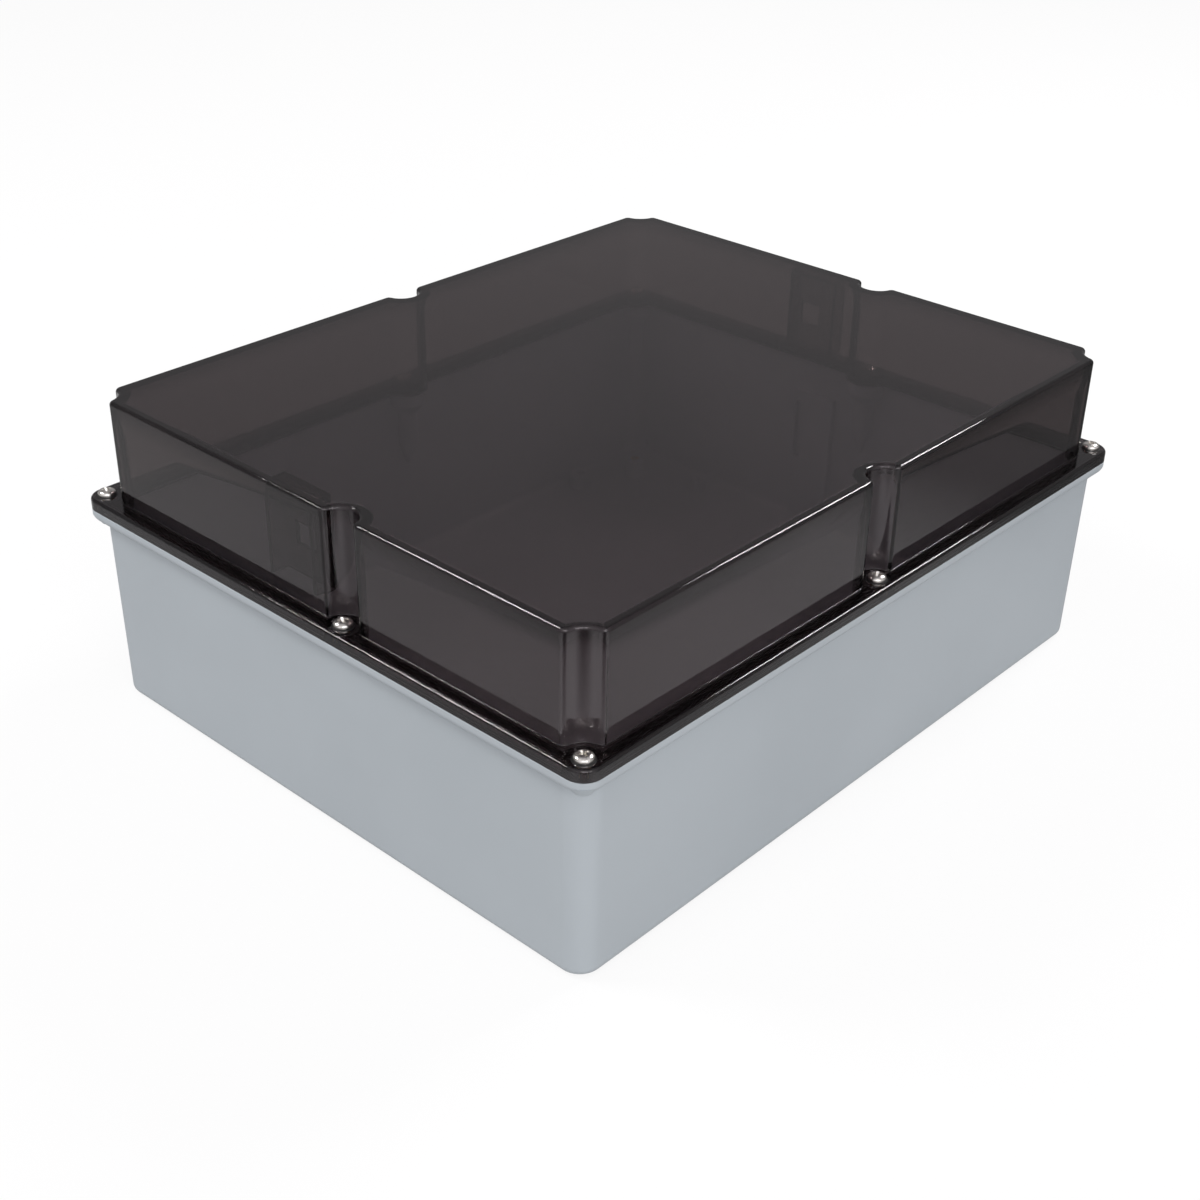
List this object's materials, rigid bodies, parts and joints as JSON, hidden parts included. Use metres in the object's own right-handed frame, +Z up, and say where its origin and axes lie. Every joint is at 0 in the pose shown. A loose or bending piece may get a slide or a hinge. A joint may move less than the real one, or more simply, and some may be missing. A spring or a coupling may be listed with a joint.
{
  "type": "hinged polycarbonate enclosure",
  "caption": "Deep grey enclosure base with a transparent smoked lid on a hidden pin hinge, closed by captive cross-head screws",
  "frame": {"origin": "Middle of the flat wall face under the base", "axes": "X along the hinge side, Y from the opening side to the hinge side, Z up from the wall face through the lid"},
  "size_m": [0.46, 0.3915, 0.187],
  "materials": {
    "base": "smooth satin polycarbonate, bluish light grey",
    "lid": "polished transparent polycarbonate, smoke tint",
    "gasket": "foamed-in-place polyurethane, dark",
    "screw": "plain stainless steel",
    "washer": "moulded nitrile, satin",
    "insert": "turned brass",
    "pocket": "transparent polycarbonate, smoke tint",
    "pin": "drawn stainless steel"
  },
  "bodies": {
    "base": {"base": "base", "base_insert_front_left": "insert", "base_insert_front_right": "insert", "base_insert_back_left": "insert", "base_insert_back_right": "insert", "base_insert_front_middle": "insert", "base_insert_back_middle": "insert", "base_insert_left_middle": "insert", "base_insert_right_middle": "insert", "plate_insert_front_left": "insert", "plate_insert_front_right": "insert", "plate_insert_back_left": "insert", "plate_insert_back_right": "insert", "hinge_pin_left": "pin", "hinge_pin_right": "pin"},
    "lid": {"lid": "lid", "lid_gasket": "gasket", "screw_washer_front_left": "washer", "screw_washer_front_right": "washer", "screw_washer_back_left": "washer", "screw_washer_back_right": "washer", "screw_washer_front_middle": "washer", "screw_washer_back_middle": "washer", "screw_washer_left_middle": "washer", "screw_washer_right_middle": "washer", "strap_pocket_left": "pocket", "strap_pocket_right": "pocket"},
    "screw_front_left": {"lid_screw_front_left": "screw"},
    "screw_front_right": {"lid_screw_front_right": "screw"},
    "screw_back_left": {"lid_screw_back_left": "screw"},
    "screw_back_right": {"lid_screw_back_right": "screw"},
    "screw_front_middle": {"lid_screw_front_middle": "screw"},
    "screw_back_middle": {"lid_screw_back_middle": "screw"},
    "screw_left_middle": {"lid_screw_left_middle": "screw"},
    "screw_right_middle": {"lid_screw_right_middle": "screw"}
  },
  "joints": [
    {"name": "lid_hinge", "type": "hinge", "parent": "base", "child": "lid", "pos_m": [0, 0.197, 0.116], "axis": [-1, 0, 0], "range_deg": [0, 105]},
    {"name": "screw_lift_front_left", "type": "slide", "parent": "lid", "child": "screw_front_left", "axis": [0, 0, 1], "range_m": [0, 0.01]},
    {"name": "screw_lift_front_right", "type": "slide", "parent": "lid", "child": "screw_front_right", "axis": [0, 0, 1], "range_m": [0, 0.01]},
    {"name": "screw_lift_back_left", "type": "slide", "parent": "lid", "child": "screw_back_left", "axis": [0, 0, 1], "range_m": [0, 0.01]},
    {"name": "screw_lift_back_right", "type": "slide", "parent": "lid", "child": "screw_back_right", "axis": [0, 0, 1], "range_m": [0, 0.01]},
    {"name": "screw_lift_front_middle", "type": "slide", "parent": "lid", "child": "screw_front_middle", "axis": [0, 0, 1], "range_m": [0, 0.01]},
    {"name": "screw_lift_back_middle", "type": "slide", "parent": "lid", "child": "screw_back_middle", "axis": [0, 0, 1], "range_m": [0, 0.01]},
    {"name": "screw_lift_left_middle", "type": "slide", "parent": "lid", "child": "screw_left_middle", "axis": [0, 0, 1], "range_m": [0, 0.01]},
    {"name": "screw_lift_right_middle", "type": "slide", "parent": "lid", "child": "screw_right_middle", "axis": [0, 0, 1], "range_m": [0, 0.01]}
  ]
}
